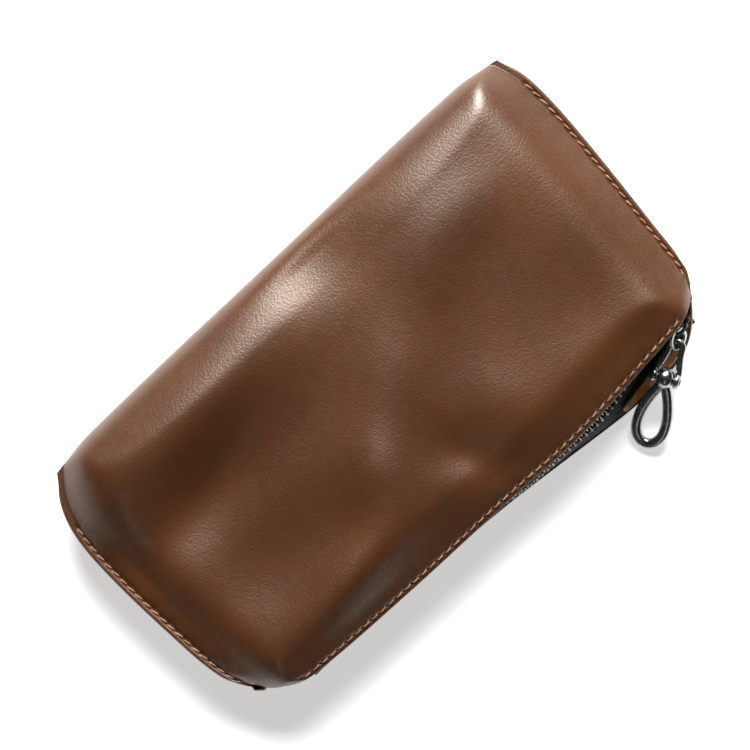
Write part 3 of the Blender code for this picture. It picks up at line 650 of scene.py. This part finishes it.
def seam_dip(u, v, side):
    """How far the thread pulls the leather in: a groove, and a hole between stitches."""
    total = np.zeros_like(u)
    lines = SEAMS[side]
    for name, along, off in (("mouth", u, v * PATCH_WIDTH), ("left", v, u * PATCH_LENGTH),
                             ("right", v, (1 - u) * PATCH_LENGTH)):
        line = lines[name]
        run = np.interp(along, line["t"], line["run"])
        place = (run - line["low"]) / STITCH_PITCH
        inside = smooth_step((place + 0.5) * 2) * smooth_step((line["count"] + 0.5 - place) * 2)
        off = off - STITCH_INSET
        groove = GROOVE_DEPTH * np.exp(-(off / GROOVE_HALF) ** 2)
        nearest = (place - np.round(place)) * STITCH_PITCH
        hole = HOLE_DEPTH * np.exp(-(nearest ** 2 + off ** 2) / HOLE_HALF ** 2)
        wave = np.cos(tau * place / PUCKER_STITCHES + np.sin(place * 0.7))
        pucker = PUCKER * wave * np.exp(-(np.maximum(off, 0) / PUCKER_REACH) ** 2)
        pucker *= smooth_step((off + 1.4) / 1.6)
        total += inside * (groove + hole + pucker)
    return total


def leather_piece():
    """The one folded piece of leather: a closed sheet, open only at the mouth and the seams."""
    u = fine_spaced(400, PATCH_LENGTH)
    v_front = fine_spaced(150, PATCH_WIDTH)
    v_back = fine_spaced(96, PATCH_WIDTH)
    grids, dips = [], []
    for side, v in ((1, v_front), (-1, v_back[::-1])):
        uu, vv = np.meshgrid(u, v, indexing="ij")
        grids.append(panel(uu, vv, side))
        dips.append(seam_dip(uu, vv, side))
        edge = np.minimum(np.minimum(uu, 1 - uu) * PATCH_LENGTH, vv * PATCH_WIDTH)
        rounding = EDGE_ROUND * (1 - np.sqrt(1 - np.clip(1 - edge / EDGE_ROUND, 0, 1) ** 2))
        dips[-1] = np.stack([dips[-1] + rounding, 2 * rounding], -1)
    outer = np.concatenate(grids, axis=1)
    dip = np.concatenate(dips, axis=1)
    upright = np.zeros_like(outer)
    upright[:, :len(v_front), 2] = 1
    upright[:, len(v_front):, 2] = -1
    from_end = np.minimum(u, 1 - u)[:, None] * PATCH_LENGTH
    from_mouth = np.concatenate([v_front, v_back[::-1]])[None, :] * PATCH_WIDTH
    corner = smooth_step(1 - np.hypot(from_end, from_mouth) / MOUTH_CORNER)[..., None]
    normal = unit(grid_normals(outer) * (1 - corner) + upright * corner)
    shaped = outer - normal * dip[..., :1]
    inner = shaped - normal * (LEATHER - dip[..., 1:])
    points, faces = shell(shaped, inner)
    piece = add_mesh("leather", points, faces, LEATHER_PAINT, smooth=60)
    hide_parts("leather_body")


def edge_bead(name, u_edge):
    """The painted edge that covers the cut ends of both layers along an end seam."""
    v = BEAD_ENDS[0] + (BEAD_ENDS[1] - BEAD_ENDS[0]) * spaced(110)
    middle = panel(np.full_like(v, u_edge), v, 1)
    middle[:, 2] = SEAM_Z
    along = unit(np.gradient(middle, axis=0))
    outward = 1 if u_edge > 0.5 else -1
    out = outward * np.stack([along[:, 1], -along[:, 0], np.zeros(len(v))], -1)
    shape = 1.0 - 0.8 * np.abs(2 * (v - v[0]) / (v[-1] - v[0]) - 1) ** 16
    up = np.array([0.0, 0.0, 1.0])
    half_out, half_up = BEAD_HALF[0] * shape, BEAD_HALF[1] * shape
    points, faces = sweep(middle - out * BEAD_BACK, out, up, half_out, half_up, steps=20, power=0.75)
    faces = [f[::-1] for f in faces] if outward > 0 else faces
    add_mesh(name, points, faces, EDGE_PAINT)


def stitch(centre, along, normal, length, lean):
    """One stitch: a thread that bows over the leather and dips into it at both ends."""
    side = np.cross(normal, along)
    t = np.linspace(-1, 1, 11)
    path = centre + np.outer(t * length / 2, along) + np.outer(t * lean, side)
    path += np.outer(0.16 - 0.62 * np.abs(t) ** 3.2, normal)
    radius = STITCH_RADIUS * (1.0 - 0.35 * t ** 6)
    return sweep(path, side, normal, radius, radius * 0.85, steps=10)


def stitch_line(name, side, seam):
    line = SEAMS[side][seam]
    step = 0.003
    parts = []
    for k in range(line["count"]):
        run = line["low"] + (k + 0.5) * STITCH_PITCH
        t = np.interp(run, line["run"], line["t"])
        u, v = np.interp(t, line["t"], line["u"]), np.interp(t, line["t"], line["v"])
        du = panel(u + step, v, side) - panel(u - step, v, side)
        dv = panel(u, v + step, side) - panel(u, v - step, side)
        normal = unit(np.cross(du, dv)) * side
        along = unit(du if seam == "mouth" else dv)
        centre = panel(u, v, side) - normal * (GROOVE_DEPTH - STITCH_PROUD)
        wobble = 0.06 * sin(k * 2.3) + 0.04 * sin(k * 5.1)
        parts.append(stitch(centre, along, normal, STITCH_LENGTH, 0.2 + wobble))
    points, faces = join(parts)
    piece = add_mesh(name, points, faces, THREAD_PAINT)
    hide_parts(name)


# ============================================================ the zipper

def chain_frame(x):
    """Centre of the chain, its direction across the tapes, and its outward face."""
    x = np.asarray(x, float)
    bow = smooth_step((x - BULGE_RISE[0]) / BULGE_RISE[1])
    y = CHAIN_Y - CHAIN_BULGE * bow * smooth_step((BULGE_FALL[0] - x) / BULGE_FALL[1])
    closed = smooth_step((x - CLOSED_TWIST[0]) / CLOSED_TWIST[1])
    opened = smooth_step((OPEN_TWIST[0] - x) / OPEN_TWIST[1])
    lean = np.radians(TILT_MIDDLE + (TILT_CLOSED_END - TILT_MIDDLE) * closed
                      + (TILT_OPEN_END - TILT_MIDDLE) * opened)
    zero = np.zeros_like(x)
    centre = np.stack([x, y, np.full_like(x, CHAIN_Z)], -1)
    return (centre, np.stack([zero, np.sin(lean), np.cos(lean)], -1),
            np.stack([zero, -np.cos(lean), np.sin(lean)], -1))


def row_spread(x):
    """How much further apart the two rows lie past the slider, on each side."""
    return SPREAD * smooth_step((np.asarray(x, float) - SLIDER_X - SPREAD_START) / SPREAD_LENGTH)


def tooth(x, side):
    """A cast tooth: it clasps the cord, narrows at its neck and ends in a rounded head."""
    centre, across, face = chain_frame(x)
    reach, wide, thick = np.array(TOOTH_SHAPE).T
    path = centre + np.outer(side * (reach + row_spread(x)), across)
    points, faces = sweep(path, np.array([1.0, 0, 0]), face, wide, thick, steps=14, power=0.6)
    return points, faces if side < 0 else [f[::-1] for f in faces]


def teeth(name, side):
    """One row of teeth on the braided cord of its tape."""
    parts = []
    x = CHAIN_START + TEETH_IN + (0 if side > 0 else PITCH / 2)
    while x < SLIDER_X + TEETH_PAST:
        parts.append(tooth(x, side))
        x += PITCH
    run = np.arange(CHAIN_START, CHAIN_END, CORD_STEP)
    centre, across, face = chain_frame(run)
    path = centre + across * (side * (CORD_REACH + row_spread(run)))[:, None]
    braid = CORD_RADIUS + BRAID * np.sin(run * 4.0)
    points, faces = sweep(path, across, face, braid, braid, steps=12)
    cord = add_mesh(f"{name}_cord", points, faces, TAPE_PAINT)
    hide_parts(name)
    points, faces = join(parts)
    piece = add_mesh(name, points, faces, TOOTH_PAINT)
    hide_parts(name)


def tape_line(x, side):
    """Cross-section of one tape: from the teeth, round to the rim, and in under the leather."""
    rim = FRONT_RIM if side > 0 else BACK_RIM
    centre, across, face = chain_frame(x)
    spread = row_spread(x)
    under = LEATHER + GAP + TAPE_BELOW + TAPE / 2
    u = (x - rim[0][0]) / (rim[-1][0] - rim[0][0])
    hem = []
    step = 0.004
    for v in (HEM_START / PATCH_WIDTH, HEM * 0.5 / PATCH_WIDTH, HEM / PATCH_WIDTH):
        du = panel(min(u + step, 1), v, side) - panel(max(u - step, 0), v, side)
        dv = panel(u, v + step, side) - panel(u, max(v - step, 0), side)
        hem.append(panel(u, v, side) - unit(np.cross(du, dv)) * side * under)
    reach = hem[0] - centre
    bend = min(TAPE_STRAIGHT + KNEE_ON + spread, abs(reach @ across) - KNEE_SHORT)
    knee = centre + across * side * bend + face * (reach @ face) * KNEE_DROP
    return np.array([centre + across * side * (TAPE_IN + spread),
                     centre + across * side * (TAPE_STRAIGHT - KNEE_BACK + spread), knee] + hem)


def smooth_line(points, count):
    """More points along a section, on a curve through its own."""
    run = arc_length(points)
    spots = np.linspace(0, run[-1], count)
    knots = np.arange(len(points))
    t = np.interp(spots, run, knots)
    k = np.clip(t.astype(int), 0, len(points) - 2)
    f = (t - k)[:, None]
    before, after = np.clip(k - 1, 0, None), np.clip(k + 2, None, len(points) - 1)
    a, b, c, d = points[before], points[k], points[k + 1], points[after]
    return 0.5 * (2 * b + (c - a) * f + (2 * a - 5 * b + 4 * c - d) * f ** 2
                  + (3 * b - a - 3 * c + d) * f ** 3)


def strip(lines, thickness):
    """Points and faces of a strip whose sections are lines of points."""
    grid = np.array(lines)
    normal = grid_normals(grid)
    return shell(grid + normal * (thickness / 2), grid - normal * (thickness / 2))


def tape(name, side):
    first, last = CHAIN_START - TAPE_PAST, CHAIN_END + TAPE_PAST
    lines = [smooth_line(tape_line(x, side), 26) for x in np.linspace(first, last, 240)]
    if side < 0:
        lines.reverse()
    points, faces = strip(lines, TAPE)
    piece = add_mesh(name, points, faces, TAPE_PAINT)
    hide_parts(name)


def tab_lines():
    """Sections of the back tape that the end tab covers."""
    lines = []
    for x in np.linspace(TAB_START, TAB_END, TAB_ROWS):
        line = tape_line(x, -1)
        lines.append([line[2] + (line[3] - line[2]) * t for t in np.linspace(*TAB_SPAN, TAB_COLUMNS)])
    return np.array(lines)


def end_tab():
    """The leather piece over the back tape at the closed end, with its row of stitches."""
    grid = tab_lines()[::-1]
    normal = grid_normals(grid)
    middle = grid + normal * ((TAPE + TAB) / 2 + GAP)
    row, column = np.arange(TAB_ROWS), np.arange(TAB_COLUMNS)
    along = np.minimum(row, row[::-1]) / 4.0
    across = np.minimum(column, column[::-1]) / 2.0
    edge = np.clip(np.minimum(along[:, None], across[None, :]), 0, 1)
    half = TAB / 2 * (0.55 + 0.45 * np.sqrt(edge))[..., None]
    points, faces = shell(middle + normal * half, middle - normal * half)
    # The tab's paint is painted light: far lighter than its leather, so that it reads as lit in its
    # shade.
    piece = add_mesh("zipper_end_tab", points, faces, TAB_LIT_PAINT)
    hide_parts("zipper_end_tab")
    parts = []
    face = (middle + normal * (TAB / 2 - 0.12))[::-1]
    up = normal[::-1]
    line = face[TAB_STITCH_ROW]
    for k in range(TAB_STITCHES):
        j = 2 + k * TAB_STITCH_STEP
        a, b = int(j), min(int(j) + 1, TAB_COLUMNS - 1)
        centre = line[a] + (line[b] - line[a]) * (j - a)
        way = unit(line[12] - line[3])
        parts.append(stitch(centre, way, up[TAB_STITCH_ROW, a], TAB_STITCH_LENGTH, 0.1))
    points, faces = join(parts)
    add_mesh("tab_stitches", points, faces, THREAD_PAINT)


def stop_piece(name, low, high, reach_low, reach_high):
    """A clamped metal stop: a rounded block across the tapes."""
    x = np.linspace(low, high, 9)
    middle = (reach_low + reach_high) / 2
    half = (reach_high - reach_low) / 2
    centre, across, face = chain_frame(x)
    swell = np.sqrt(1 - np.clip(np.abs(np.linspace(-1, 1, 9)), 0, 0.92) ** 4)
    path = centre + across * middle
    points, faces = sweep(path, across, face, half * swell, STOP_HALF_THICK * swell, steps=20, power=0.5)
    piece = add_mesh(name, points, faces, TOOTH_PAINT)
    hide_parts(name)


def zipper():
    for side, label in ((1, "front"), (-1, "back")):
        tape(f"zipper_tape_{label}", side)
        teeth(f"zipper_teeth_{label}", side)
        low = STOP_CLEAR + SPREAD
        ends = sorted((side * low, side * (low + STOP_WIDTH)))
        stop_piece(f"top_stop_{label}", CHAIN_END + GAP, CHAIN_END + TOP_STOP_END, *ends)
    stop_piece("bottom_stop", CHAIN_START - BOTTOM_STOP_START, CHAIN_START - GAP,
               -BOTTOM_STOP_HALF, BOTTOM_STOP_HALF)
    end_tab()


def lining():
    """The cloth bag inside, softly creased, open towards the zipper."""
    low, high = LINING_U
    u = low + (high - low) * spaced(120)
    v = LINING_V[0] + (LINING_V[1] - LINING_V[0]) * spaced(50)
    halves = []
    for side, steps in ((1, v), (-1, v[::-1])):
        uu, vv = np.meshgrid(u, steps, indexing="ij")
        spot = panel(uu, vv, side)
        inside = smooth_step(np.minimum(uu - low, high - uu) / LINING_FADE)
        x, y = spot[..., 0], spot[..., 1]
        crease = LINING_CREASE * np.sin(x * 0.31 + 1.5 * np.sin(y * 0.13)) * np.sin(y * 0.09)
        half = ((spot[..., 2] - SEAM_Z) * side - LINING_IN + crease) * inside
        spot[..., 2] = SEAM_Z + side * np.maximum(half, LINING_LEAST)
        halves.append(spot)
    outer = np.concatenate(halves, axis=1)
    points, faces = shell(outer, outer - grid_normals(outer) * LINING)
    piece = add_mesh("lining_bag", points, faces, LINING_PAINT)
    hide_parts("lining_bag")


# ============================================================ the slider and the pull

def millimetres(point):
    return np.array(point, float) / MM


HANG = millimetres(JOINTS["ring_swing"]["pos_m"])
LINK_TOP = millimetres(JOINTS["link_swing"]["pos_m"])
EYE = millimetres(JOINTS["loop_swing"]["pos_m"])
RING_AXIS = unit(np.array(JOINTS["ring_swing"]["axis"], float))
SIDE = unit(np.array(JOINTS["loop_swing"]["axis"], float))
RING_WAY = unit(LINK_TOP - HANG)
LINK_WAY = unit(EYE - LINK_TOP)
LINK_FACE = unit(np.cross(SIDE, LINK_WAY))


def slider():
    """The slider keeps its frame shape, with its edges rounded."""
    body = NODES["slider_body"]
    body.data.materials.clear()
    body.data.materials.append(SLIDER_PAINT)
    weld = body.modifiers.new("weld", "WELD")
    weld.merge_threshold = SLIDER_WELD
    rounding = body.modifiers.new("rounding", "BEVEL")
    rounding.width = SLIDER_ROUND
    rounding.segments = 3
    rounding.limit_method = "ANGLE"
    rounding.angle_limit = radians(35)


def ring():
    """A flat-sided ring through the slider's crown."""
    radius = np.linalg.norm(LINK_TOP - HANG) / 2
    angle = np.arange(96) * tau / 96
    out = np.outer(np.cos(angle), RING_WAY) + np.outer(np.sin(angle), RING_AXIS)
    centre = (HANG + LINK_TOP) / 2
    face = np.cross(RING_WAY, RING_AXIS)
    path = centre + out * radius
    points, faces = sweep(path, out, face, *RING_BAR, closed=True, steps=20, power=0.7)
    piece = add_mesh("pull_ring", points, faces, NICKEL_PAINT, body="ring")
    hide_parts("pull_ring")


def link():
    """A tapered bow that hangs in the ring and ends in two round eyes over the pin."""
    reach = np.linalg.norm(EYE - LINK_TOP)
    t = np.linspace(-1, 1, 121)
    a = np.abs(t)
    angle = np.minimum(a, 0.5) * pi
    run = np.clip((a - 0.5) * 2, 0, 1)
    along = np.where(a < 0.5, -LINK_TOP_HALF * 0.9 * np.cos(angle), run * reach)
    out = np.where(a < 0.5, LINK_TOP_HALF * np.sin(angle),
                   LINK_TOP_HALF + (LINK_EYE_HALF - LINK_TOP_HALF) * smooth_step(run))
    path = LINK_TOP + np.outer(along - LINK_BACK, LINK_WAY) + np.outer(np.sign(t) * out, SIDE)
    direction = unit(np.gradient(path, axis=0))
    side = np.cross(direction, LINK_FACE)
    parts = [sweep(path, side, LINK_FACE, *LINK_BAR, steps=24, power=0.8)]
    for sign in (1, -1):
        centre = EYE + SIDE * sign * LINK_EYE_HALF
        parts.append(lathe(LINK_EYE, centre, SIDE, steps=40))
    points, faces = join(parts)
    piece = add_mesh("pull_link", points, faces, GUNMETAL_PAINT, body="link")
    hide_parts("pull_link")


def pin():
    """The cross pin, with a low head at each end."""
    half = LINK_EYE_HALF + PIN_REACH + GAP
    head = [(radius, half + height) for radius, height in PIN_HEAD]
    profile = [(0, -half - PIN_TIP)] + [(r, -h) for r, h in head] + head[::-1] + [(0, half + PIN_TIP)]
    points, faces = lathe(profile, EYE, SIDE, steps=40)
    piece = add_mesh("pull_pin", points, faces, GUNMETAL_PAINT, body="link")
    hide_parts("pull_pin")


def loop():
    """The pear-shaped grip and the knob that it is cast in one with."""
    droop = np.array(Matrix.Rotation(-LOOP_DROP, 3, Vector(SIDE)))
    way, face = droop @ LINK_WAY, droop @ LINK_FACE
    angle = np.arange(160) * tau / 160
    along = KNOB_REACH + (LOOP_REACH - KNOB_REACH) * (1 - np.cos(angle)) / 2
    pear = LOOP_PEAR[0] + LOOP_PEAR[1] * np.sin(angle / 2) ** 2
    out = LOOP_HALF_WIDTH * 1.12 * np.sin(angle) * pear
    path = EYE + np.outer(along, way) + np.outer(out, SIDE)
    direction = unit(np.roll(path, -1, axis=0) - np.roll(path, 1, axis=0))
    side = np.cross(direction, face)
    parts = [sweep(path, side, face, *LOOP_BAR, closed=True, steps=28, power=0.75)]
    half = BARREL_WIDTH / 2
    turns = np.radians(np.arange(-84, 85, 8))
    knob = [(BARREL_RADIUS * cos(a) ** KNOB_POWER, half * sin(a)) for a in turns]
    parts.append(lathe([(0, -half)] + knob + [(0, half)], EYE, SIDE, steps=56))
    points, faces = join(parts)
    piece = add_mesh("pull_loop", points, faces, GUNMETAL_PAINT, body="loop")
    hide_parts("pull_loop")


# ============================================================ floor, light and camera

def stage():
    floor = bpy.data.meshes.new("floor")
    half = FLOOR_HALF
    corners = [(-half, -half, 0), (half, -half, 0), (half, half, 0), (-half, half, 0)]
    floor.from_pydata(corners, [], [(0, 1, 2, 3)])
    paint = Paint("pale_floor", Roughness=0.9, Specular_IOR_Level=0.1)
    paint.to("Base Color", paint.mix(paint.noise(3.0), (0.8, 0.8, 0.79), (0.82, 0.82, 0.81)))
    paint.shader.inputs["Emission Color"].default_value = (1, 1, 1, 1)
    paint.shader.inputs["Emission Strength"].default_value = FLOOR_GLOW
    floor.materials.append(paint.mat)
    thing = bpy.data.objects.new("floor", floor)
    bpy.context.scene.collection.objects.link(thing)


def area_light(name, direction, distance, size, power, colour=(1, 1, 1)):
    """A rectangular light that looks at the pouch from a direction."""
    data = bpy.data.lights.new(name, "AREA")
    data.shape = "RECTANGLE"
    data.size, data.size_y = size
    data.energy = power
    data.color = colour
    lamp = bpy.data.objects.new(name, data)
    way = Vector(direction).normalized()
    lamp.location = way * distance
    lamp.rotation_euler = (-way).to_track_quat("-Z", "Y").to_euler()
    bpy.context.scene.collection.objects.link(lamp)


def lights():
    area_light("softbox", SOFTBOX_WAY, SOFTBOX_DISTANCE, SOFTBOX_SIZE, SOFTBOX_POWER, (1.0, 0.99, 0.97))
    area_light("strip", STRIP_WAY, STRIP_DISTANCE, STRIP_SIZE, STRIP_POWER)
    world = bpy.data.worlds.new("room")
    world.use_nodes = True
    sky = world.node_tree.nodes["Background"]
    sky.inputs["Color"].default_value = (0.9, 0.95, 1.0, 1)
    sky.inputs["Strength"].default_value = WORLD_GLOW
    bpy.context.scene.world = world


def camera():
    data = bpy.data.cameras.new("camera")
    data.sensor_width = SENSOR
    data.lens = SENSOR * CAMERA_HEIGHT / VIEW_SPAN
    data.clip_start, data.clip_end = 0.05, 20.0
    eye = bpy.data.objects.new("camera", data)
    eye.location = (CAMERA_SPOT[0] * MM, CAMERA_SPOT[1] * MM, (CAMERA_HEIGHT + SEAM_Z) * MM)
    eye.rotation_euler = (0, 0, radians(VIEW_TURN))
    bpy.context.scene.collection.objects.link(eye)
    bpy.context.scene.camera = eye


bpy.context.scene.view_settings.view_transform = "Standard"
stage()
lights()
camera()
leather_piece()
edge_bead("edge_left", 0.0)
edge_bead("edge_right", 1.0)
for side_number, side_name in ((1, "front"), (-1, "back")):
    for seam_name in ("mouth", "left", "right"):
        stitch_line(f"stitch_{seam_name}_{side_name}", side_number, seam_name)
lining()
zipper()
slider()
ring()
link()
pin()
loop()
